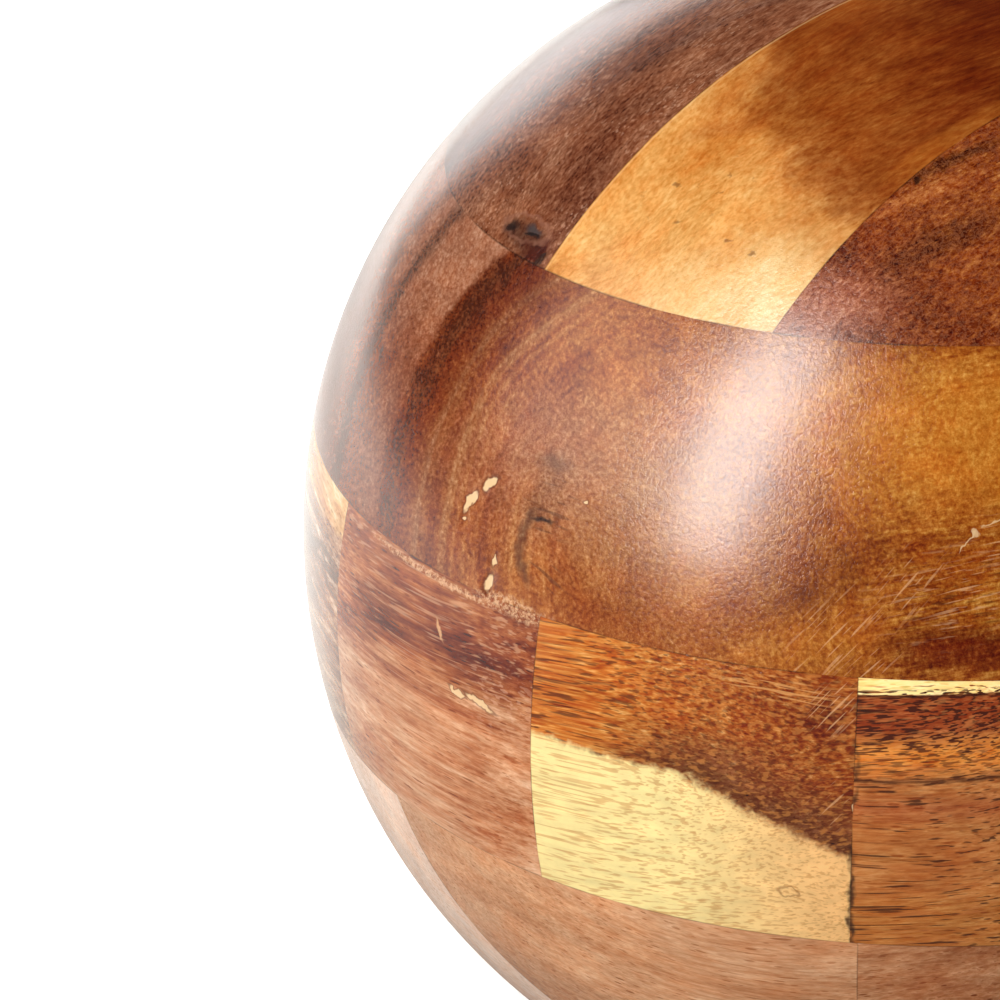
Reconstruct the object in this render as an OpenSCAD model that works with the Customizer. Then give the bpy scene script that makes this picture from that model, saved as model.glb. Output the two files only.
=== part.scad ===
// Wooden ball, turned from a blank of five glued courses.
// Every block is solid wood, and its flat glue faces meet its neighbours' face to face.
// The origin is the ball's centre. The front is -Y and its right-hand side is +X.
// Angles are seen from above: 0 is the front, and they grow towards the right.

/* [Ball] */
// Diameter of the turned ball
ball_d = 100; // [90:1:120]

/* [Courses] */
// Height of the middle course's upper glue face above the centre
middle_top_z = 10.5; // [8:0.1:13]
// Thickness of the upper course, under the top cap
upper_t = 21.9; // [18:0.1:24]
// Thickness of the middle course
middle_t = 22.4; // [18:0.1:26]
// Thickness of the lower course, over the bottom cap
lower_t = 22.1; // [18:0.1:24]

/* [Top cap] */
// Distance from the axis to the glue face between the left and the middle board
top_left_off = 3.4; // [0:0.1:8]
// Angle of the direction that this face looks in
top_left_angle = 36.5; // [30:0.1:42]
// Distance from the axis to the glue face between the middle and the right board
top_right_off = 20.2; // [14:0.1:24]
// Angle of the direction that this face looks in
top_right_angle = 41.3; // [35:0.1:47]

/* [Middle ring] */
// Number of wedges round the middle course
wedge_count = 12; // [8:1:16]
// Angle of the first wedge's left-hand joint
ring_angle = -4.5; // [-15:0.5:15]

/* [Lower course] */
// Depth of the two front boards, from the ball's surface to the glue face behind them
lower_front_t = 13.2; // [11:0.1:20]
// Angle of the direction that this face looks in
lower_face_angle = -14.5; // [-20:0.1:-8]
// Angle of the butt joint between the two front boards
lower_butt_angle = -3.8; // [-8:0.1:4]

/* [Hidden] */
// Heights of the other level glue faces
top_z = middle_top_z + upper_t;
middle_bottom_z = middle_top_z - middle_t;
bottom_z = middle_bottom_z - lower_t;

// Distance from the axis to the glue face behind the two front boards
lower_face_off = ball_d / 2 - lower_front_t;

// Angle that each wedge of the ring takes up
wedge_angle = 360 / wedge_count;
// Length of the cutting shapes, which run past the ball's surface on every side
reach = ball_d;

// Wood colours: dark heartwood, mid brown, light brown and pale sapwood
DARK = [0.36, 0.20, 0.13];
MID = [0.58, 0.35, 0.21];
LIGHT = [0.74, 0.52, 0.33];
PALE = [0.88, 0.67, 0.40];
WEDGE_COLORS = [MID, DARK, LIGHT, MID, PALE, DARK, MID, LIGHT, DARK, LIGHT, MID, PALE];

$fn = 180;

function wedge_name(i) = str("ring_wedge_", i < 10 ? "0" : "", i);

// The slice of the turned ball that one course fills
module course(low_z, high_z) {
    intersection() {
        sphere(d = ball_d);
        translate([-reach, -reach, low_z])
            cube([2 * reach, 2 * reach, high_z - low_z]);
    }
}

// All that lies in front of an upright glue face, which looks along an angle
module in_front(angle, off) {
    rotate([0, 0, angle])
        translate([-reach, -reach - off, -reach])
            cube([2 * reach, reach, 2 * reach]);
}

// All that lies behind the same glue face
module behind(angle, off) {
    rotate([0, 0, angle])
        translate([-reach, -off, -reach])
            cube([2 * reach, reach + off, 2 * reach]);
}

// All that lies to the right of an upright joint that runs forward from the axis
module right_of(angle) {
    rotate([0, 0, angle])
        translate([0, -reach, -reach])
            cube([reach, 2 * reach, 2 * reach]);
}

// All that lies to the left of the same joint
module left_of(angle) {
    rotate([0, 0, angle])
        translate([-reach, -reach, -reach])
            cube([reach, 2 * reach, 2 * reach]);
}

// Top cap: three boards side by side
module top_left_board() {
    color(DARK)
        intersection() {
            course(top_z, reach);
            behind(top_left_angle, top_left_off);
        }
}

module top_middle_board() {
    color(PALE)
        intersection() {
            course(top_z, reach);
            in_front(top_left_angle, top_left_off);
            behind(top_right_angle, top_right_off);
        }
}

module top_right_board() {
    color(DARK)
        intersection() {
            course(top_z, reach);
            in_front(top_right_angle, top_right_off);
        }
}

// Upper course: one wide board
module upper_board() {
    color(MID) course(middle_top_z, top_z);
}

// Middle course: wedges whose points meet on the axis
module ring_wedge(i) {
    left_angle = ring_angle + (i - 1) * wedge_angle;
    color(WEDGE_COLORS[(i - 1) % len(WEDGE_COLORS)])
        intersection() {
            course(middle_bottom_z, middle_top_z);
            right_of(left_angle);
            left_of(left_angle + wedge_angle);
        }
}

// Lower course: two short boards, butted together in front of a wide one
module lower_left_board() {
    color(MID)
        intersection() {
            course(bottom_z, middle_bottom_z);
            in_front(lower_face_angle, lower_face_off);
            left_of(lower_butt_angle);
        }
}

module lower_right_board() {
    color(MID)
        intersection() {
            course(bottom_z, middle_bottom_z);
            in_front(lower_face_angle, lower_face_off);
            right_of(lower_butt_angle);
        }
}

module lower_rear_board() {
    color(LIGHT)
        intersection() {
            course(bottom_z, middle_bottom_z);
            behind(lower_face_angle, lower_face_off);
        }
}

// Bottom cap: one board
module bottom_board() {
    color(MID) course(-reach, bottom_z);
}

top_left_board();
top_middle_board();
top_right_board();
upper_board();
for (i = [1 : wedge_count])
    ring_wedge(i);
lower_left_board();
lower_right_board();
lower_rear_board();
bottom_board();
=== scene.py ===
import math

import bmesh
import bpy
import numpy as np
from mathutils import Matrix, Vector


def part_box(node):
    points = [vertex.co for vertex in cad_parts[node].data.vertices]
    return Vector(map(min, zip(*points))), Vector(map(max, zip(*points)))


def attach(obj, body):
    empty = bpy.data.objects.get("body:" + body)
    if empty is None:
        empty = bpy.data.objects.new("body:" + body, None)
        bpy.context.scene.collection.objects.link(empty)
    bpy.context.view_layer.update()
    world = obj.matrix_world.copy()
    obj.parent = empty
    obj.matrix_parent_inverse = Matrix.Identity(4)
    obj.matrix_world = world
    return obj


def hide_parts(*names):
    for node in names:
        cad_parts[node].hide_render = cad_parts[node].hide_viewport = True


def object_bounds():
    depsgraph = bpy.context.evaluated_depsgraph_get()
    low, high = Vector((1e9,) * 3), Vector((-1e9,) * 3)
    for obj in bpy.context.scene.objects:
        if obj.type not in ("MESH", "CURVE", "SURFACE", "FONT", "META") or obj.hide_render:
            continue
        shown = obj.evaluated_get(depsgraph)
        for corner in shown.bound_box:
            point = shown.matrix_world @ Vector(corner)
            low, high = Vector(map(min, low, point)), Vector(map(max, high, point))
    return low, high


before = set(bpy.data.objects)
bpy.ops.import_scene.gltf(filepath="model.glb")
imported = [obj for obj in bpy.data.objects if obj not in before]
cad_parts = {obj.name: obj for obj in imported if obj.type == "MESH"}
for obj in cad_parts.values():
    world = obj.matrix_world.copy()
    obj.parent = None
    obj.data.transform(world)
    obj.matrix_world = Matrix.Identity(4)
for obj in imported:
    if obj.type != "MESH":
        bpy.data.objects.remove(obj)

MM = 0.001
CAD_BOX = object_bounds()

# The ball and its level glue faces, in millimetres
RADIUS = CAD_BOX[1].z / MM
TOP_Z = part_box("upper_board")[1].z / MM
MIDDLE_TOP_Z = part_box("upper_board")[0].z / MM
MIDDLE_BOTTOM_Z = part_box("ring_wedge_01")[0].z / MM
BOTTOM_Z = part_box("bottom_board")[1].z / MM

# The upright glue faces. Angles are seen from above: 0 is the front, and they grow to the right.
TOP_LEFT_FACE = (36.5, 3.4)
TOP_RIGHT_FACE = (41.3, 20.2)
WEDGES = 12
WEDGE_ANGLE = 360 / WEDGES
RING_ANGLE = -4.5
LOWER_FACE = (-14.5, 36.8)
LOWER_BUTT_ANGLE = -3.8

# Skin mesh, and the sanding and the sanded-in edge along each joint, in millimetres
SKIN_STEPS = 8
EDGE_WIDTH = 0.15
EDGE_DEPTH = 0.002
SANDING_DEPTH = 0.02

# Photo's frame and viewing angle
FRAME_PX = 1000
FOCAL_PX = 4805.3
BALL_AT_PX = (906.2, 527.7)
VIEW_DISTANCE = 8 * RADIUS * MM
VIEW_RISE = 24.96
VIEW_ROLL = 1.985
SENSOR_MM = 36


# Geometry helpers

def aim(lon, lat):
    """Unit direction from the ball's centre, lon degrees to the right of the front and lat up."""
    a, e = math.radians(lon), math.radians(lat)
    return Vector((math.sin(a) * math.cos(e), -math.cos(a) * math.cos(e), math.sin(e)))


def local_axes(lon, lat, turn):
    """Axes on the skin at a place: along (turn degrees up from level), across, and outwards."""
    out = aim(lon, lat)
    right = aim(lon + 90, 0)
    up = out.cross(right)
    t = math.radians(turn)
    along = right * math.cos(t) + up * math.sin(t)
    return along, out.cross(along), out


# Flat faces are pairs of an outward normal and a distance from the ball's centre

def above(z):
    return Vector((0, 0, -1)), -z


def below(z):
    return Vector((0, 0, 1)), z


def behind(angle, off):
    return aim(angle, 0), off


def in_front(angle, off):
    return -aim(angle, 0), -off


def right_of(angle):
    return -aim(angle + 90, 0), 0.0


def left_of(angle):
    return aim(angle + 90, 0), 0.0


# Sawing and turning

def whole_ball():
    ball = bmesh.new()
    bmesh.ops.create_icosphere(ball, subdivisions=SKIN_STEPS, radius=RADIUS)
    for face in ball.faces:
        face.smooth = True
    return ball


def saw(blank, faces):
    """A copy of a closed blank, cut along flat faces, with each cut closed by a flat face."""
    block = blank.copy()
    for normal, off in faces:
        everything = block.verts[:] + block.edges[:] + block.faces[:]
        bmesh.ops.bisect_plane(
            block, geom=everything, dist=1e-5, plane_co=normal * off, plane_no=normal,
            clear_outer=True)
        rim = [edge for edge in block.edges if edge.is_boundary]
        for edge in rim:
            edge.smooth = False
        for face in bmesh.ops.holes_fill(block, edges=rim, sides=0)["faces"]:
            face.smooth = False
    return block


def mark_edges(block, faces):
    """Adds a line of skin vertices beside each joint, where the sanded-in edge begins."""
    for normal, off in faces:
        line = off - EDGE_WIDTH
        near = [f for f in block.faces
                if f.smooth and abs(f.calc_center_median().dot(normal) - line) < 2]
        geom = list({v for f in near for v in f.verts} | {e for f in near for e in f.edges}) + near
        bmesh.ops.bisect_plane(
            block, geom=geom, dist=1e-5, plane_co=normal * line, plane_no=normal)


# Chips in the skin: place (lon, lat), size along and across, turn and depth
CHIPS = [
    (-43.3, 21.5, 1.35, 0.75, 62, 0.14),
    (-45.2, 19.3, 1.75, 0.65, 60, 0.14),
    (-45.4, 17.6, 0.55, 0.40, 60, 0.08),
    (-40.7, 15.2, 0.75, 0.42, 75, 0.10),
    (-40.9, 13.3, 1.55, 0.75, 72, 0.14),
    (-31.9, 22.8, 0.45, 0.32, 0, 0.08),
    (-43.4, 2.2, 1.6, 0.35, -12, 0.08),
    (-40.6, 2.1, 3.0, 0.55, -12, 0.10),
    (-4.3, 0.5, 0.35, 0.9, 0, 0.12),
]


def turn_skin(points, faces):
    """Skin points moved inwards for the joints' edges, the chips and the sanding."""
    size = np.linalg.norm(points, axis=1)
    skin = size > RADIUS * 0.9995
    out = points / np.maximum(size, 1e-6)[:, None]
    depth = np.zeros(len(points))
    for normal, off in faces:
        gap = off - points @ np.array(normal)
        wear = 0.75 + 0.35 * np.sin(points @ np.array((0.9, 0.7, 0.8))) * np.sin(
            points @ np.array((0.31, -0.43, 0.37)))
        depth = np.maximum(depth, EDGE_DEPTH * wear * np.clip(1 - gap / EDGE_WIDTH, 0, 1))
    for lon, lat, length, width, turn, deep in CHIPS:
        along, across, up = (np.array(a) for a in local_axes(lon, lat, turn))
        d = np.hypot((points @ along) / (length / 2), (points @ across) / (width / 2))
        d = np.where(points @ up > 0, d, 9)
        depth += deep * np.clip(1.6 - d, 0, 1)
    waves = sum(np.sin(out @ np.array(w)) for w in ((7, 3, 5), (-4, 9, 6), (11, -8, 4), (5, 6, -13)))
    depth += SANDING_DEPTH * (0.5 + waves / 8)
    return np.where(skin[:, None], out * (RADIUS - depth)[:, None], points)


def cut_block(name, blank, faces, joints):
    """Makes the piece that stands for one block, from a course or the whole ball."""
    block = saw(blank, faces)
    mark_edges(block, joints)
    mesh = bpy.data.meshes.new(name)
    block.to_mesh(mesh)
    block.free()
    points = np.empty(len(mesh.vertices) * 3)
    mesh.vertices.foreach_get("co", points)
    points = turn_skin(points.reshape(-1, 3), joints)
    mesh.vertices.foreach_set("co", (points * MM).ravel())
    mesh.update()
    piece = bpy.data.objects.new(name + "_turned", mesh)
    bpy.context.scene.collection.objects.link(piece)
    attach(piece, "root")
    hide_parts(name)
    return piece


# Finishes

def shade(red, green, blue):
    """A colour from its 0-255 screen values."""
    def linear(v):
        v /= 255
        return v / 12.92 if v <= 0.04045 else ((v + 0.055) / 1.055) ** 2.4
    return (linear(red), linear(green), linear(blue), 1.0)


class Wire:
    """One output socket. Sums on it add Math nodes."""

    def __init__(self, nodes, socket):
        self.nodes, self.socket = nodes, socket

    def beside(self, name):
        """Another output of the same node."""
        return Wire(self.nodes, self.socket.node.outputs[name])

    def math(self, operation, *values):
        return self.nodes.node(
            "ShaderNodeMath", {"operation": operation}, dict(enumerate(values)))

    def __add__(self, other):
        return self.math("ADD", self, other)

    def __radd__(self, other):
        return self.math("ADD", other, self)

    def __sub__(self, other):
        return self.math("SUBTRACT", self, other)

    def __rsub__(self, other):
        return self.math("SUBTRACT", other, self)

    def __mul__(self, other):
        return self.math("MULTIPLY", self, other)

    def __rmul__(self, other):
        return self.math("MULTIPLY", other, self)

    def __truediv__(self, other):
        return self.math("DIVIDE", self, other)

    def __rtruediv__(self, other):
        return self.math("DIVIDE", other, self)

    def __pow__(self, other):
        return self.math("POWER", self, other)

    def __rpow__(self, other):
        return self.math("POWER", other, self)

    def __abs__(self):
        return self.math("ABSOLUTE", self)

    def at_least(self, other):
        return self.math("MAXIMUM", self, other)

    def at_most(self, other):
        return self.math("MINIMUM", self, other)


class Nodes:
    """A node tree under construction."""

    def __init__(self, tree):
        self.tree = tree
        tree.nodes.clear()

    def node(self, kind, settings=None, inputs=None, out=0):
        """Adds a node, sets it up, fills its inputs, and gives the wire of one output."""
        made = self.tree.nodes.new(kind)
        for key, value in (settings or {}).items():
            setattr(made, key, value)
        for key, value in (inputs or {}).items():
            if isinstance(value, Wire):
                self.tree.links.new(value.socket, made.inputs[key])
            else:
                made.inputs[key].default_value = value
        return Wire(self, made.outputs[out]) if made.outputs else None

    def vector(self, operation, *values, out=0):
        return self.node("ShaderNodeVectorMath", {"operation": operation},
                         dict(enumerate(values)), out)

    def scaled(self, vector, factor):
        return self.node("ShaderNodeVectorMath", {"operation": "SCALE"},
                         {0: vector, "Scale": factor})

    def dot(self, vector, axis):
        return self.vector("DOT_PRODUCT", vector, tuple(axis), out="Value")

    def deepen(self, color, amount):
        """Darker and stronger above 1, paler below."""
        return self.node("ShaderNodeGamma", None, {"Color": color, "Gamma": amount})

    def mix(self, first, second, amount, blend="MIX"):
        return self.node("ShaderNodeMix", {"data_type": "RGBA", "blend_type": blend},
                         {0: amount, 6: first, 7: second}, out=2)

    def step(self, value, start, end):
        """0 at start and 1 at end, smoothly."""
        return self.node("ShaderNodeMapRange", {"interpolation_type": "SMOOTHSTEP"},
                         {"Value": value, "From Min": start, "From Max": end})

    def noise(self, where, scale, detail=2.0, rough=0.5, out="Fac"):
        return self.node("ShaderNodeTexNoise", None, {
            "Vector": where, "Scale": scale, "Detail": detail, "Roughness": rough}, out)

    def noise_along(self, distance, scale, detail=2.0, rough=0.5):
        return self.node("ShaderNodeTexNoise", {"noise_dimensions": "1D"}, {
            "W": distance, "Scale": scale, "Detail": detail, "Roughness": rough}, "Fac")


class Finish(Nodes):
    """A material under construction."""

    def __init__(self, name):
        self.material = bpy.data.materials.new(name)
        self.material.use_nodes = True
        super().__init__(self.material.node_tree)


class Block(Finish):
    """The wood of one block: a solid texture in the block's own grain direction."""

    def __init__(self, name, grain, pith, seed):
        """grain is the (lon, lat) that the grain runs along, pith the middle of the rings."""
        super().__init__(name)
        seat = self.node("ShaderNodeTexCoord", out="Object")
        self.place = self.scaled(seat, 1 / MM)
        level, up, out = local_axes(grain[0], grain[1], 0)
        turn = Matrix((out, level, up)).to_euler()
        self.straight = self.node(
            "ShaderNodeMapping", {"vector_type": "POINT"},
            {"Vector": self.place, "Rotation": turn, "Location": (seed * SEED_SHIFT, 0, 0)})
        drift = self.noise(
            self.vector("MULTIPLY", self.straight, (0.02, 0.07, 0.07)), 1, 1, 0.5, "Color")
        self.fibre = self.moved(self.straight, drift, (0, 6, 6))
        self.ragged = self.moved(
            self.place, self.noise(self.place, 0.9, 2, 0.6, "Color"), (1.2, 1.2, 1.2))
        self.ring = self.ring_in(self.fibre, pith)
        self.even_ring = self.ring_in(self.straight, pith)
        self.end = abs(self.dot(self.vector("NORMALIZE", self.place), aim(*grain)))

    def moved(self, where, drift, reach):
        """Places moved by a noise's colour, by up to half the reach each way."""
        return self.vector(
            "MULTIPLY_ADD", self.vector("SUBTRACT", drift, (0.5, 0.5, 0.5)), reach, where)

    def ring_in(self, where, pith):
        """Distance from the middle of the growth rings."""
        flat = self.vector("MULTIPLY", where, (0, 1, 1))
        return self.vector("DISTANCE", flat, (0, pith[0], pith[1]), out="Value")

    def streaks(self, length, width, detail=1.0, rough=0.5, shift=0.0):
        """Noise drawn out along the grain, 0.5 in the middle."""
        where = self.vector("MULTIPLY_ADD", self.fibre,
                            (1 / length, 1 / width, 1 / width), (shift, shift, shift))
        return self.noise(where, 1, detail, rough)

    def pores(self, length, gap, size, shift=0.0):
        """Open vessels: short dark lines along the grain, and dots on end grain."""
        where = self.vector("MULTIPLY_ADD", self.fibre,
                            (1 / length, 1 / gap, 1 / gap), (shift, shift, shift))
        cell = self.node("ShaderNodeTexVoronoi", {"feature": "F1"}, {"Vector": where, "Scale": 1},
                         out="Distance")
        pick = self.node("ShaderNodeSeparateColor", None, {0: cell.beside("Color")})
        reach = pick * size + size * 0.3
        return self.step(cell / reach, 1.0, 0.6)

    def patch_edge(self, lon, lat, length, width, turn=0):
        """How far out from the middle of an oval place on the skin, with 1 at its edge."""
        along, across, out = local_axes(lon, lat, turn)
        basis = Matrix((along, across, out)).transposed().to_euler()
        inside = self.node(
            "ShaderNodeMapping", {"vector_type": "TEXTURE"},
            {"Vector": self.ragged, "Location": out * RADIUS, "Rotation": basis,
             "Scale": (length / 2, width / 2, max(length, width))})
        return self.vector("LENGTH", inside, out="Value")

    def patch(self, lon, lat, length, width, turn=0, soft=0.5):
        """An oval place on the skin: 1 inside, fading to 0 at its edge."""
        return self.step(self.patch_edge(lon, lat, length, width, turn), 1.0, 1.0 - soft)

    def stain(self, color, tone, place, share):
        """An oval stain on the skin: its 0-255 colour, its place as for a patch, and its strength."""
        return self.mix(color, shade(*tone), self.patch(*place) * share)

    def lines(self, lon, lat, turn, along_scale, gap, detail=1):
        """Noise drawn out along a direction on the skin."""
        along, across, _ = local_axes(lon, lat, turn)
        a = self.dot(self.place, along) * along_scale
        b = self.dot(self.place, across) / gap
        where = self.node("ShaderNodeCombineXYZ", None, {0: a, 1: b})
        return self.noise(where, 1, detail, 0.6)

    def scratches(self, lon, lat, length, width, turn, gap=0.45, share=0.64):
        """Fine parallel marks inside an oval place."""
        lines = self.step(self.lines(lon, lat, turn, 0.22, gap), share, share + 0.07)
        return lines * self.patch(lon, lat, length, width, turn, 0.6)

    def band(self, value, middle, width):
        """1 where a value is at a place, fading to 0 at half the width on both sides."""
        return self.step(abs(value - middle), width / 2, 0)

    def joint_line(self, faces, width=0.08):
        """The thin dark glue line along the block's edges."""
        line = None
        for normal, off in faces:
            near = self.step(abs(self.dot(self.place, normal) - off), width, width * 0.35)
            line = near if line is None else line.at_least(near)
        return line * self.step(self.noise(self.place, 0.25, 2), 0.3, 0.62)

    def chips(self, color, chips):
        """Pale bare wood in the chips, with a dark rim."""
        for lon, lat, length, width, turn, _ in chips:
            edge = self.patch_edge(lon, lat, length, width, turn)
            color = self.mix(color, CHIP_RIM, self.step(edge, 1.6, 1.2) * 0.55)
            color = self.mix(color, CHIP_WOOD, self.step(edge, 1.15, 0.8))
        return color

    def coat(self, color, rough, height, bump):
        """The clear satin finish over the wood."""
        dent = self.node("ShaderNodeBump", None, {
            "Strength": bump, "Distance": BUMP_DEPTH * MM, "Height": height})
        skin = self.node("ShaderNodeBsdfPrincipled", None, {
            "Base Color": color, "Roughness": rough, "Normal": dent, **CLEAR_COAT})
        self.node("ShaderNodeOutputMaterial", None, {"Surface": skin})
        return self.material


# The finish, and what all the wood has in common. Lengths are in millimetres.
# Vessels are given by their length, the gap between them and their size.
CLEAR_COAT = {"IOR": 1.55, "Coat Weight": 0.5, "Coat Roughness": 0.19, "Coat IOR": 1.5}
SATIN_ROUGH = 0.21
BUMP_DEPTH = 0.12
SEED_SHIFT = 37.0
RING_MM = 6.0
LONG_VESSELS = (7.0, 0.55, 0.17)
SHORT_VESSELS = (2.0, 0.34, 0.24)
WARM_TINT = (1.35, 0.95, 0.60, 1)

# Wood colours
DARK = shade(92, 42, 20)
DARK_LIGHT = shade(142, 80, 48)
MID = shade(128, 62, 26)
MID_LIGHT = shade(206, 132, 76)
SAP = shade(224, 152, 74)
SAP_LIGHT = shade(252, 204, 128)
GREY_BROWN = shade(92, 62, 48)
CHIP_WOOD = shade(236, 196, 148)
CHIP_RIM = shade(96, 50, 28)
SCRATCH = shade(236, 180, 128)


def wood(name, dark, light, grain, joints, pith=(0, 0), ring_share=0.5, fibre_share=0.9,
         speckle=2.0, fleck_mm=2.2, mottle_share=1.2, pore_dark=0.82, many_share=0.5,
         bright=1.22, bump=0.32, line_dark=0.5, seed=0, zones=None, marks=None, chips=()):
    """One block's wood. zones adds broad colours to it, and marks what lies on its surface."""
    block = Block(name, grain, pith, seed)
    rings = block.noise_along(block.ring + seed * 11.3, 1 / RING_MM, 2, 0.6)
    clouds = block.streaks(38, 9, 2, 0.55, seed)
    fibres = block.streaks(9, 0.34, 2, 0.6, seed + 3)
    tone = (0.5 + (rings - 0.5) * 2.2 * ring_share + (clouds - 0.5) * 1.3
            + (fibres - 0.5) * fibre_share)
    color = block.mix(dark, light, tone)
    if zones:
        color = zones(block, color)
    fine = block.noise(
        block.vector("MULTIPLY", block.straight, (1 / fleck_mm, 2.9, 2.9)), 1, 3, 0.78)
    blotches = block.noise(
        block.vector("MULTIPLY", block.fibre, (0.14, 0.36, 0.36)), 1, 4, 0.72, "Color")
    mottle = block.node("ShaderNodeSeparateColor", None, {0: blotches})
    color = block.mix(color, WARM_TINT, (mottle.beside(1) - 0.4) * 1.1, "MULTIPLY")
    grit = (fine - 0.5) * speckle + (fibres - 0.5) * 0.8 + (mottle - 0.5) * mottle_share
    holes = open_grain(block, rings, clouds, fibres, many_share, seed)
    color = block.deepen(color, (1.12 - grit * 0.8).at_least(0.5) + holes * pore_dark * 0.8)
    color = block.scaled(color, (bright - block.end * block.end * 0.1 + grit * 0.3)
                         * (1.0 - holes * pore_dark * 0.45))
    if marks:
        color = marks(block, color)
    color = block.chips(color, chips)
    color = block.scaled(color, 1.0 - block.joint_line(joints) * line_dark)
    return block.coat(color, SATIN_ROUGH + (fine - 0.5) * 0.12, (fine - 0.5) * 1.2, bump)


def open_grain(block, rings, clouds, fibres, many_share, seed):
    """Where the wood is open: long vessels, many short ones, and fine lines on side grain."""
    side = 1.0 - block.end * block.end * 0.75
    lines = block.step(fibres, 0.6, 0.72) * side
    few = block.pores(*LONG_VESSELS, seed) * (0.6 + block.step(clouds + rings, 0.8, 1.1) * 0.4)
    many = block.pores(*SHORT_VESSELS, seed + 5) * (0.35 + side * 0.65)
    return (few * side).at_least(many * many_share).at_least(lines * 0.55)


# Blocks

TOP_JOINTS = [above(TOP_Z)]
UPPER_JOINTS = [below(TOP_Z), above(MIDDLE_TOP_Z)]
MIDDLE_JOINTS = [below(MIDDLE_TOP_Z), above(MIDDLE_BOTTOM_Z)]
LOWER_JOINTS = [below(MIDDLE_BOTTOM_Z), above(BOTTOM_Z)]
BOTTOM_JOINTS = [below(BOTTOM_Z)]


def make(name, slot, blank, level, upright, **look):
    """Makes one block from its course: the piece, its wood and its slot."""
    piece = cut_block(name, blank, upright, level + upright)
    piece.data.materials.append(wood(slot, joints=level + upright, **look))


def top_left_zones(block, color):
    color = block.stain(color, (76, 30, 14), (-44, 48, 18, 7, 50, 0.9), 0.7)
    color = block.stain(color, (84, 36, 16), (-54.5, 50.5, 22, 8, 100, 0.9), 0.42)
    across = (block.dot(block.ragged, aim(TOP_LEFT_FACE[0], 0)) * 0.79
              - block.dot(block.ragged, (0, 0, 0.62)))
    color = block.mix(color, shade(96, 74, 70), block.band(across, -34.7, 2.4) * 0.5)
    color = block.mix(color, shade(112, 84, 76), block.band(across, -31.0, 2.0) * 0.35)
    return block.stain(color, (74, 16, 6), (-51.0, 41.5, 4.2, 2.0, 60, 0.6), 0.9)


def top_left_marks(block, color):
    flecks = block.step(block.streaks(0.8, 0.3, 1, 0.6, 31), 0.6, 0.68)
    flecks = flecks * block.step(block.noise(block.place, 0.22, 1), 0.46, 0.6)
    color = block.mix(color, shade(206, 156, 126), flecks * 0.5)
    color = block.stain(color, (54, 22, 14), (-54.5, 42.2, 8.2, 3.6, -5, 0.7), 0.75)
    rim = block.band(block.patch_edge(-55.2, 42.8, 5.6, 2.2, 5), 1.0, 0.5)
    color = block.mix(color, shade(150, 100, 80), rim * 0.5)
    color = block.stain(color, (66, 62, 64), (-53.8, 43.0, 3.0, 1.2, 5, 0.8), 0.8)
    color = block.stain(color, (24, 20, 22), (-53.6, 42.5, 2.6, 0.6, 8, 0.7), 0.9)
    color = block.stain(color, (30, 20, 20), (-57.8, 42.2, 2.2, 1.7, 30, 0.7), 0.9)
    color = block.stain(color, (78, 26, 12), (-52.5, 41.3, 3.2, 1.5, -20, 0.8), 0.6)
    return block.stain(color, (16, 6, 4), (-49.8, 41.0, 2.0, 1.1, 60, 0.6), 0.8)


def top_middle_zones(block, color):
    up, level = (block.dot(block.place, axis) for axis in ((0, 0, 1), aim(39, 0)))
    rag = block.noise(block.fibre, 0.2, 4, 0.72) - 0.5
    heart = up + level * 0.37 - 47.5 + rag * 5.0
    color = block.stain(color, (242, 206, 150), (-21, 44, 24, 13, 20, 0.9), 0.8)
    color = block.stain(color, (206, 134, 56), (-34, 57, 16, 9, 50, 0.9), 0.6)
    color = block.mix(color, shade(190, 112, 42), block.step(heart, -4.5, -1.0) * 0.4)
    color = block.mix(color, shade(142, 68, 12), block.step(heart, -1.9, 1.3) * 0.92)
    color = block.mix(color, shade(124, 50, 8), block.step(heart, 2.2, 5.2) * 0.8)
    color = block.stain(color, (172, 98, 40), (-34, 59, 12, 2.6, 30, 0.9), 0.5)
    color = block.stain(color, (190, 116, 50), (-60, 78, 24, 13, 20, 0.9), 0.7)
    color = block.mix(color, shade(206, 132, 54), block.step(level, 19.0, 19.8)
                      * block.patch(2, 62, 16, 14, 20, 0.6) * 0.4)
    return color


def top_middle_marks(block, color):
    for lon, lat, length in ((-33.5, 48.5, 0.9), (-25.5, 48.0, 1.1), (-22.0, 47.0, 0.9), (-37, 52, 0.8)):
        color = block.stain(color, (110, 62, 26), (lon, lat, length, 0.5, 20, 0.7), 0.6)
    specks = block.step(block.noise(block.ragged, 1.3, 3, 0.7), 0.60, 0.70)
    specks = specks * block.patch(-31, 53, 20, 9, 30, 0.8)
    color = block.mix(color, shade(150, 88, 38), specks * 0.55)
    pale = block.band(block.dot(block.place, aim(TOP_LEFT_FACE[0], 0)), TOP_LEFT_FACE[1] + 0.18, 0.3)
    return block.mix(color, shade(255, 214, 150), pale * 0.35)


def top_right_zones(block, color):
    color = block.stain(color, (176, 100, 46), (0, 54.6, 15, 1.8, 28, 0.8), 0.75)
    color = block.stain(color, (60, 22, 6), (3, 57.8, 15, 1.6, 28, 0.8), 0.7)
    color = block.stain(color, (72, 28, 8), (4, 50.5, 15, 4, 25, 0.8), 0.6)
    # Painted sheen: a paler pinkish patch standing in for the key light's reflection on this board.
    return block.stain(color, (172, 104, 76), (-11, 43.5, 15, 8, 10, 0.9), 0.85)


def top_right_marks(block, color):
    wrinkles = block.step(abs(block.noise(block.ragged, 2.2, 3, 0.7) - 0.5), 0.07, 0.0)
    color = block.mix(color, shade(196, 124, 84), wrinkles * 0.28)
    return block.stain(color, (24, 8, 4), (-1.2, 55.9, 1.1, 0.7, 40, 0.6), 0.8)


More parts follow.
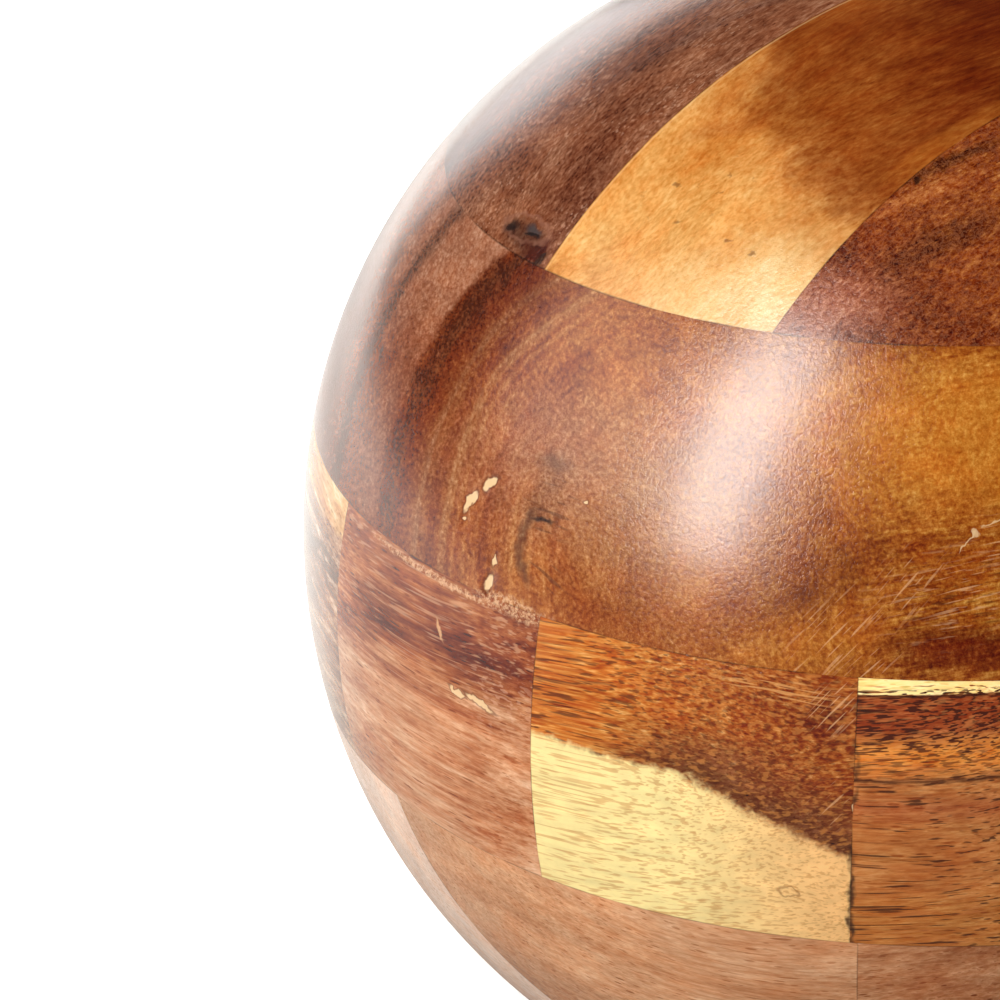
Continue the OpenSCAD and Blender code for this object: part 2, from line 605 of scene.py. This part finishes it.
def upper_zones(block, color):
    rag = block.noise(block.ragged, 0.8, 2, 0.65) - 0.5
    drift = (block.noise(block.place, 0.09, 1) - 0.5) * 4
    ring = block.even_ring + rag * 1.2
    left = block.step(block.dot(block.place, aim(-110, 0)), 6, 20)
    high = block.step(block.dot(block.place, (0, 0, 1)), 12, 30)
    arcs = block.noise_along(block.even_ring + drift * 0.6, 0.30, 3, 0.75)
    color = block.deepen(color, (1.0 - (arcs - 0.5) * (left * 2.1 + 0.3)).at_least(0.55))
    right = block.step(block.dot(block.place, (1, 0, 0)), -7, 1)
    lines = block.lines(2, 25, 11, 0.3, 0.42, 3)
    color = block.deepen(color, (1.0 - (lines - 0.5) * right * 2.2).at_least(0.5))
    color = block.mix(color, shade(118, 54, 24), block.step(ring + drift, 15, 29.5) * left * 0.85)
    color = block.mix(color, shade(110, 48, 18), block.step(ring, 19, 28) * left * high * 0.5)
    torn = block.noise(block.ragged, 0.55, 3, 0.7)
    line = block.band(ring + (torn - 0.5) * 5, 29.0, 3.4 + high * 1.4) * left
    color = block.mix(color, shade(66, 36, 24), line * (0.3 + high * 0.3))
    outer = block.mix(shade(138, 82, 54), shade(166, 116, 90),
                      block.step(block.dot(block.place, (0, 0, 1)), 21, 30))
    color = block.mix(color, outer, block.step(ring, 30.0, 30.9) * left * 0.9)
    color = block.mix(color, shade(94, 58, 42), block.band(ring, 36.8, 2.6) * left * 0.7)
    color = block.mix(color, shade(118, 76, 56), block.band(ring + drift, 40, 3) * left * 0.5)
    # Painted haze: a pale grey-tan veil over the board's left, standing in for the side panel's reflection
    # there.
    color = block.stain(color, (182, 132, 104), (-36.5, 24.5, 31, 18, 8, 1.0), 0.52)
    color = block.stain(color, (166, 116, 68), (-27, 24, 17, 20, 0, 0.9), 0.5)
    color = block.stain(color, (200, 130, 62), (3, 33, 30, 17, 0, 0.75), 0.8)
    color = block.stain(color, (116, 58, 14), (-9.0, 19.2, 15, 6.5, 40, 0.9), 0.6)
    color = block.stain(color, (146, 74, 20), (6, 23, 18, 7, 20, 0.8), 0.6)
    color = block.stain(color, (110, 38, 6), (5, 14.8, 17, 4.6, 0, 0.8), 0.9)
    color = block.stain(color, (146, 78, 28), (-30, 14, 20, 4, -5, 0.9), 0.5)
    color = block.mix(color, GREY_BROWN, block.patch(-36.5, 22.0, 7, 10, 0, 1.0) * 0.4)
    warm = block.step(block.dot(block.place, (1, 0, 0)), -20, -6)
    return block.mix(color, (1.0, 0.98, 0.55, 1), warm, "MULTIPLY")


def upper_marks(block, color):
    for lon, lat, length, width, turn, share in (
            (-35.2, 21.3, 8, 7, 0, 0.56), (-34.5, 16.0, 7, 3, -20, 0.55)):
        strokes = block.scratches(lon, lat, length, width, turn, 0.5, share)
        color = block.mix(color, shade(70, 40, 30), strokes * 0.45)
    color = block.stain(color, (92, 58, 44), (-36.5, 25.3, 5.5, 2.2, 0, 1.0), 0.6)
    hook = block.band(block.patch_edge(-34.3, 18.2, 6.4, 7.4, 0), 1.0, 0.5)
    hook = hook * block.patch(-37.6, 17.4, 4.4, 8.6, 0, 0.5)
    color = block.mix(color, shade(60, 38, 34), hook * 0.6)
    color = block.stain(color, (40, 26, 24), (-36.2, 20.3, 3.6, 0.7, 3, 0.8), 0.9)
    color = block.stain(color, (70, 60, 60), (-68, 25.6, 0.9, 1.9, 20, 0.6), 0.7)
    for lon, lat, length, width, turn, gap in (
            (-7, 15.5, 12, 6, 50, 0.26), (-4.0, 12.6, 8, 4, 46, 0.22), (-1, 20, 10, 5, 52, 0.3),
            (4, 20, 15, 5, 14, 0.26), (8, 24, 10, 5, 8, 0.3)):
        color = block.mix(color, SCRATCH, block.scratches(lon, lat, length, width, turn, gap, 0.58) * 0.5)
    torn = block.lines(4, 20, 8, 0.35, 0.42, 3)
    place = block.patch(4.5, 19.5, 20, 10, 10, 0.8)
    color = block.mix(color, SCRATCH, block.step(torn, 0.56, 0.7) * place * 0.6)
    color = block.mix(color, shade(84, 34, 10), block.step(torn, 0.46, 0.34) * place * 0.7)
    for lon, lat, length, width, turn in ((5.3, 24.6, 0.8, 0.55, 30), (4.7, 23.9, 2.4, 0.18, 55),
                                          (7.2, 25.5, 2.2, 0.18, 10)):
        color = block.mix(color, CHIP_WOOD, block.patch(lon, lat, length, width, turn, 0.4) * 0.75)
    return upper_edge_wear(block, color)


def upper_edge_wear(block, color):
    flakes = block.step(block.noise(block.place, 3.0, 3, 0.8), 0.4, 0.62)
    strip = block.patch(-48, 11.5, 22, 0.7, -1, 0.5).at_least(block.patch(-37.5, 11.9, 10, 1.9, -3, 0.5))
    return block.mix(color, shade(232, 184, 140), flakes * strip * 0.75)


def wedge_12_places(block):
    """How far along the wedge a place lies, and how far out from the middle of the tree."""
    run = block.dot(block.place, aim(55.5, 0))
    height = block.dot(block.ragged, (0, 0, 1))
    rag = block.noise(block.ragged, 0.9, 2, 0.7) - 0.5
    level = block.dot(block.place, aim(145.5, 0)) + 33.7
    rise = block.dot(block.place, (0, 0, 1)) - 10.5
    rings = (level * level + rise * rise) ** 0.5
    return run, (rings + rag * 1.3).at_most(18.5 - height + rag * 0.6)


def wedge_12_zones(block, color):
    run, edge = wedge_12_places(block)
    color = block.mix(color, shade(146, 70, 22), block.step(run, 6, 22) * 0.75)
    color = block.stain(color, (112, 42, 10), (-7, 8.0, 6.5, 6.5, 0, 0.9), 0.8)
    color = block.mix(color, (1.0, 1.0, 0.8, 1), 1.0, "MULTIPLY")
    color = block.deepen(color, (1.0 + (block.streaks(7, 0.26, 2, 0.6, 77) - 0.5) * 2.1).at_least(0.5))
    color = block.mix(color, shade(116, 70, 44), block.band(edge, 16.0, 7.5) * block.step(run, 5, 14) * 0.7)
    return block.mix(color, shade(84, 48, 30), block.band(edge, 16.7, 2.0) * block.step(run, 4, 9) * 0.5)


def wedge_12_marks(block, color):
    run, edge = wedge_12_places(block)
    dashes = block.step(block.streaks(3.6, 0.2, 1, 0.5, 74), 0.53, 0.63)
    color = block.mix(color, shade(84, 34, 12), dashes * (0.8 - block.step(run, 0, 20) * 0.3))
    light = block.step(block.streaks(8, 0.3, 1, 0.6, 75), 0.52, 0.66)
    color = block.mix(color, shade(222, 142, 66), light * 0.4)
    tint = block.mix(shade(255, 231, 160), shade(255, 194, 126), block.step(run, 10, 25) * 0.9)
    thread = block.step(block.streaks(16, 0.2, 1, 0.5, 71), 0.46, 0.36)
    tint = block.mix(tint, shade(206, 142, 78), thread * 0.55)
    veins = block.step(block.streaks(4, 0.22, 1, 0.5, 72), 0.58, 0.68)
    tint = block.mix(tint, shade(216, 152, 88), veins * 0.45)
    soft = block.noise(block.ragged, 0.35, 3, 0.7) + block.streaks(9, 0.8, 1, 0.5, 73)
    tint = block.scaled(tint, 1.03 + (soft - 1.0) * 0.4)
    color = block.mix(color, tint, block.step(edge, 16.9, 17.7))
    ring = block.patch_edge(-9.9, -8.8, 1.5, 0.9, 0)
    color = block.mix(color, shade(150, 92, 44), block.band(ring, 1.0, 0.6) * 0.6)
    color = block.mix(color, SCRATCH, block.scratches(-6.5, 0.5, 7, 4.5, 50, 0.35, 0.6) * 0.5)
    scuffs = block.scratches(-11.5, 10.4, 12, 2.4, -3, 0.26, 0.5)
    color = block.mix(color, shade(226, 160, 92), scuffs * 0.7)
    color = block.mix(color, SCRATCH, block.scratches(-6.5, 9.2, 6, 4.5, 50, 0.24, 0.55) * 0.6)
    return foot_gap(block, color)


def foot_gap(block, color):
    """The joint in the front opens a little towards its foot: a dark line along it, and painted shade in
    the open gap near the foot.
    """
    off = block.dot(block.ragged, aim(RING_ANGLE + 90, 0))
    low = block.step(block.dot(block.place, (0, 0, 1)), -3.5, -6)
    worn = block.step(block.noise(block.place, 0.55, 2), 0.46, 0.6)
    color = block.mix(color, shade(64, 34, 20), block.band(off, 0.05, 0.8) * worn * 0.7)
    # Painted shade: the gap near the foot is darkened in colour, not cut into the skin.
    return block.mix(color, shade(66, 40, 26), block.band(off, 0.1, 0.6) * low * 0.7)


def wedge_11_zones(block, color):
    height = block.dot(block.fibre, (0, 0, 1))
    color = block.mix(color, shade(199, 146, 110), block.step(height, 4, -3) * 0.85)
    color = block.stain(color, (112, 42, 12), (-40.5, 5.8, 20, 7.5, -4, 0.9), 0.85)
    color = block.stain(color, (116, 50, 20), (-55, 5.5, 20, 6, -6, 0.9), 0.7)
    threads = block.streaks(12, 0.4, 3, 0.65, 62) + block.streaks(30, 1.6, 1, 0.5, 64) - 1.0
    return block.deepen(color, (1.0 + threads * 1.25).at_least(0.5))


def wedge_11_marks(block, color):
    light = block.step(block.streaks(7, 0.25, 1, 0.6, 65), 0.55, 0.68)
    color = block.mix(color, shade(220, 164, 124), light * 0.45)
    flecks = block.step(block.streaks(0.9, 0.4, 1, 0.6, 61), 0.56, 0.64)
    color = block.mix(color, shade(226, 170, 136), flecks * block.patch(-38, 3, 12, 9, -10, 0.8) * 0.4)
    color = block.mix(color, SCRATCH, block.patch(-46.2, 7.0, 2.6, 0.5, -60, 0.6) * 0.7)
    return upper_edge_wear(block, color)


def wedge_10_zones(block, color):
    height = block.dot(block.ragged, (0, 0, 1))
    color = block.mix(color, shade(120, 86, 70), block.band(height, 4.0, 6.5) * 0.7)
    color = block.mix(color, shade(206, 158, 100), block.step(height, 7.0, 7.8) * 0.85)
    streaks = block.streaks(14, 0.9, 3, 0.65, 63)
    return block.deepen(color, (1.0 + (streaks - 0.5) * 3.0).at_least(0.5))


def wedge_01_zones(block, color):
    height = block.dot(block.ragged, (0, 0, 0.35)) + block.dot(block.fibre, (0, 0, 0.65))
    color = block.mix(color, shade(186, 120, 64), block.step(height, -5.5, -8.5) * 0.7)
    color = block.mix(color, shade(176, 100, 66), block.band(height, 0.2, 3.0) * 0.6)
    color = block.mix(color, shade(220, 142, 70), block.band(height, 4.2, 4.4))
    color = block.mix(color, shade(66, 28, 14), block.band(height, 2.3, 0.6) * 0.85)
    color = block.mix(color, shade(152, 72, 36), block.step(height, 5.4, 6.6) * 0.95)
    top = block.dot(block.place, (-0.045, 0, 1)) + block.dot(block.ragged, (0, 0, 0.05))
    stripes = block.streaks(16, 0.2, 1, 0.5, 81)
    pale = block.mix(shade(150, 84, 36), shade(255, 232, 164), block.step(stripes, 0.30, 0.40))
    color = block.mix(color, shade(60, 26, 12), block.band(top, 9.75, 0.5) * 0.8)
    color = block.mix(color, (1.0, 1.0, 0.78, 1), 1.0, "MULTIPLY")
    return block.mix(color, pale, block.step(top, 9.8, 9.95))


def wedge_01_marks(block, color):
    height = block.dot(block.fibre, (0, 0, 1))
    dashes = block.step(block.streaks(1.7, 0.17, 1, 0.5, 91), 0.5, 0.58)
    top = block.step(block.dot(block.place, (-0.045, 0, 1)), 9.9, 9.6)
    heavy = block.step(height, -0.5, 6.0) * top
    color = block.mix(color, shade(78, 28, 12), dashes * heavy)
    light = block.step(block.streaks(5, 0.3, 1, 0.5, 93), 0.54, 0.66)
    color = block.mix(color, shade(214, 132, 70), light * top * 0.4)
    long_lines = block.step(block.streaks(9, 0.18, 1, 0.5, 92), 0.6, 0.68)
    color = block.mix(color, shade(64, 26, 10), long_lines * top * 0.85)
    return foot_gap(block, color)


ball = whole_ball()
course = saw(ball, TOP_JOINTS)
make("top_left_board", "top_left_wood", course, TOP_JOINTS, [behind(*TOP_LEFT_FACE)],
     dark=shade(101, 55, 35), light=shade(159, 107, 79), grain=(-53.5, 0), seed=1, speckle=1.7,
     pore_dark=0.5, bump=0.24, zones=top_left_zones, marks=top_left_marks)
make("top_middle_board", "top_middle_wood", course, TOP_JOINTS,
     [in_front(*TOP_LEFT_FACE), behind(*TOP_RIGHT_FACE)],
     dark=shade(206, 142, 68), light=shade(236, 182, 112), grain=(-51, 0), seed=2,
     pore_dark=0.3, bright=1.1, speckle=0.7, many_share=0.3, zones=top_middle_zones,
     marks=top_middle_marks)
make("top_right_board", "top_right_wood", course, TOP_JOINTS, [in_front(*TOP_RIGHT_FACE)],
     dark=shade(92, 32, 6), light=shade(150, 76, 26), grain=(-48.7, 0), seed=3,
     speckle=2.8, fleck_mm=0.9, pore_dark=0.6, bright=1.17, bump=0.4,
     zones=top_right_zones, marks=top_right_marks)
course.free()

course = saw(ball, UPPER_JOINTS)
make("upper_board", "upper_wood", course, UPPER_JOINTS, [],
     dark=shade(134, 68, 24), light=shade(182, 114, 54), grain=(-20, 19), seed=4, ring_share=0.3,
     speckle=1.7, fleck_mm=0.9, mottle_share=0.9, pore_dark=0.5, bright=1.19, bump=0.3,
     zones=upper_zones, marks=upper_marks, chips=CHIPS[:6])
course.free()

WEDGE_LOOKS = {
    1: dict(dark=shade(162, 95, 53), light=shade(212, 147, 95), zones=wedge_01_zones,
            marks=wedge_01_marks, ring_share=0.3, speckle=1.2),
    2: dict(dark=DARK, light=DARK_LIGHT),
    3: dict(dark=MID_LIGHT, light=SAP),
    4: dict(dark=MID, light=MID_LIGHT),
    5: dict(dark=SAP, light=SAP_LIGHT, pore_dark=0.45),
    6: dict(dark=DARK, light=DARK_LIGHT),
    7: dict(dark=MID, light=MID_LIGHT),
    8: dict(dark=MID_LIGHT, light=SAP_LIGHT),
    9: dict(dark=DARK, light=DARK_LIGHT),
    10: dict(dark=shade(130, 86, 58), light=shade(182, 132, 96), zones=wedge_10_zones,
             grain=(10.5, 1), speckle=1.2),
    11: dict(dark=shade(132, 64, 26), light=shade(174, 104, 58), zones=wedge_11_zones,
             marks=wedge_11_marks, chips=CHIPS[6:8], speckle=1.2, grain=(40.5, 1)),
    12: dict(dark=shade(156, 83, 29), light=shade(206, 130, 60), pith=(-33.7, 10.5),
             speckle=0.9, many_share=0.25, pore_dark=0.7, zones=wedge_12_zones,
             marks=wedge_12_marks, chips=CHIPS[8:]),
}
course = saw(ball, MIDDLE_JOINTS)
for number in range(1, WEDGES + 1):
    left = RING_ANGLE + (number - 1) * WEDGE_ANGLE
    make(f"ring_wedge_{number:02d}", f"wedge_{number:02d}_wood", course, MIDDLE_JOINTS,
         [right_of(left), left_of(left + WEDGE_ANGLE)],
         **{"grain": (left + 90, 7), "seed": 10 + number, "pith": (-30, 60), **WEDGE_LOOKS[number]})
course.free()

course = saw(ball, LOWER_JOINTS)
make("lower_left_board", "lower_left_wood", course, LOWER_JOINTS,
     [in_front(*LOWER_FACE), left_of(LOWER_BUTT_ANGLE)],
     dark=shade(186, 135, 98), light=shade(230, 181, 143), grain=(75.5, 0), seed=5,
     pith=(-30, 60), line_dark=0.42, speckle=1.0, fibre_share=0.35)
make("lower_right_board", "lower_right_wood", course, LOWER_JOINTS,
     [in_front(*LOWER_FACE), right_of(LOWER_BUTT_ANGLE)],
     dark=shade(158, 101, 64), light=shade(199, 142, 102), grain=(75.5, 6), seed=6,
     pith=(-30, -70), line_dark=0.42, speckle=1.2, fibre_share=0.5)
make("lower_rear_board", "lower_rear_wood", course, LOWER_JOINTS, [behind(*LOWER_FACE)],
     dark=shade(226, 190, 170), light=shade(254, 226, 208), grain=(75.5, 0), seed=7, line_dark=0.42,
     speckle=1.2, fibre_share=0.5)
course.free()

course = saw(ball, BOTTOM_JOINTS)
make("bottom_board", "bottom_wood", course, BOTTOM_JOINTS, [],
     dark=MID, light=MID_LIGHT, grain=(30, 0), seed=8)
course.free()
ball.free()


# Floor, lights and camera

def link(name, data):
    made = bpy.data.objects.new(name, data)
    bpy.context.scene.collection.objects.link(made)
    return made


FLOOR_SIZE = 6.0
FLOOR_GLOW = 0.5
# In reflections the floor darkens over this distance behind the ball, in metres
DARK_FLOOR_FROM, DARK_FLOOR_TO = 0.09, -0.03
floor_mesh = bpy.data.meshes.new("floor")
half = FLOOR_SIZE / 2
floor_mesh.from_pydata(
    [(-half, -half, 0), (half, -half, 0), (half, half, 0), (-half, half, 0)], [], [(0, 1, 2, 3)])
floor = link("floor", floor_mesh)
floor.location.z = CAD_BOX[0].z

paper = Finish("pale_floor")
dull = paper.node("ShaderNodeBsdfDiffuse", None, {"Color": (0.60, 0.60, 0.58, 1)})
pale = paper.node("ShaderNodeBsdfDiffuse", None, {"Color": (0.82, 0.82, 0.80, 1)})
glow = paper.node("ShaderNodeEmission", None, {"Color": (1.0, 1.0, 0.97, 1), "Strength": FLOOR_GLOW})
lit = paper.node("ShaderNodeAddShader", None, {0: pale, 1: glow})
shaded = paper.node("ShaderNodeBsdfDiffuse", None, {"Color": (0.15, 0.15, 0.145, 1)})
seen = paper.node("ShaderNodeLightPath", out="Is Camera Ray")
mirrored = seen.beside("Is Glossy Ray")
rearward = paper.dot(paper.node("ShaderNodeTexCoord", out="Object"), aim(-150, 0))
dull = paper.node("ShaderNodeMixShader", None, {
    0: mirrored * paper.step(rearward, DARK_FLOOR_FROM, DARK_FLOOR_TO), 1: dull, 2: shaded})
paper.node("ShaderNodeOutputMaterial", None, {
    "Surface": paper.node("ShaderNodeMixShader", None, {0: seen, 1: dull, 2: lit})})
floor_mesh.materials.append(paper.material)

SKY_LEVEL = 0.14
MIRROR_LEVEL = 0.02
sky = bpy.data.worlds.new("studio")
bpy.context.scene.world = sky
sky.use_nodes = True
sky.cycles.sampling_method = "NONE"
room = Nodes(sky.node_tree)
seen = room.node("ShaderNodeLightPath", out="Is Camera Ray")
mirrored = seen.beside("Is Glossy Ray")
level = SKY_LEVEL + seen * (1 - SKY_LEVEL) + mirrored * (MIRROR_LEVEL - SKY_LEVEL)
room.node("ShaderNodeOutputWorld", None, {
    "Surface": room.node("ShaderNodeBackground", None, {
        "Color": (0.99, 1.0, 0.975, 1), "Strength": level})})


def panel(name, width, height, power, spread=180):
    """A soft panel that faces straight down."""
    data = bpy.data.lights.new(name, "AREA")
    data.shape = "RECTANGLE"
    data.size, data.size_y = width, height
    data.energy = power
    data.spread = math.radians(spread)
    lamp = link(name, data)
    lamp.visible_camera = False
    return lamp


def aim_at_ball(lamp, lon, lat, distance, turn=0):
    """Puts a panel at lon and lat as seen from the ball's centre, and faces it that way."""
    along, across, out = local_axes(lon, lat, turn)
    lamp.matrix_world = Matrix.Translation(out * distance) @ Matrix(
        (along, across, out)).transposed().to_4x4()


def aim_at_floor(lamp, lon, distance, height, turn):
    """Puts a panel over the floor, beside the ball."""
    lamp.matrix_world = Matrix.Translation(
        aim(lon, 0) * distance + Vector((0, 0, height))) @ Matrix.Rotation(
            math.radians(turn), 4, "Z")


key_panel = panel("key_panel", 0.24, 0.78, 8.9)
key_panel.data.color = (1.0, 0.985, 0.945)
aim_at_ball(key_panel, -37.6, 35, 1.0, turn=-3)
aim_at_ball(panel("side_panel", 0.85, 0.60, 2.4), -72, 31, 1.1)
aim_at_ball(panel("rear_panel", 0.40, 0.36, 0.8), -155, 9, 1.0)
aim_at_floor(panel("floor_panel", 1.0, 0.45, 3.8, spread=60), -136, 0.50, 0.45, -132)
aim_at_floor(panel("near_panel", 0.16, 0.12, 0.09, spread=90), -145, 0.14, 0.03, -145)

# Camera, turned so that the ball sits right of the frame's middle
rise, roll = math.radians(VIEW_RISE), math.radians(VIEW_ROLL)
ball_up = Vector((math.sin(roll), math.cos(roll) * math.cos(rise), math.cos(roll) * math.sin(rise)))
ball_right = (Vector((1, 0, 0)) - ball_up * ball_up.x).normalized()
ball_back = ball_up.cross(ball_right)
upright = Matrix((ball_right, ball_back, ball_up))
to_ball = Vector((BALL_AT_PX[0] - FRAME_PX / 2, FRAME_PX / 2 - BALL_AT_PX[1], -FOCAL_PX))
turned = to_ball.rotation_difference(Vector((0, 0, -1))).to_matrix()
camera = link("camera", bpy.data.cameras.new("camera"))
camera.data.sensor_width = SENSOR_MM
camera.data.lens = FOCAL_PX * SENSOR_MM / FRAME_PX
camera.data.clip_start, camera.data.clip_end = 0.05, 20
camera.matrix_world = Matrix.Translation(upright.col[2] * VIEW_DISTANCE) @ (
    upright @ turned).to_4x4()
bpy.context.scene.camera = camera
bpy.context.scene.view_settings.view_transform = "Standard"
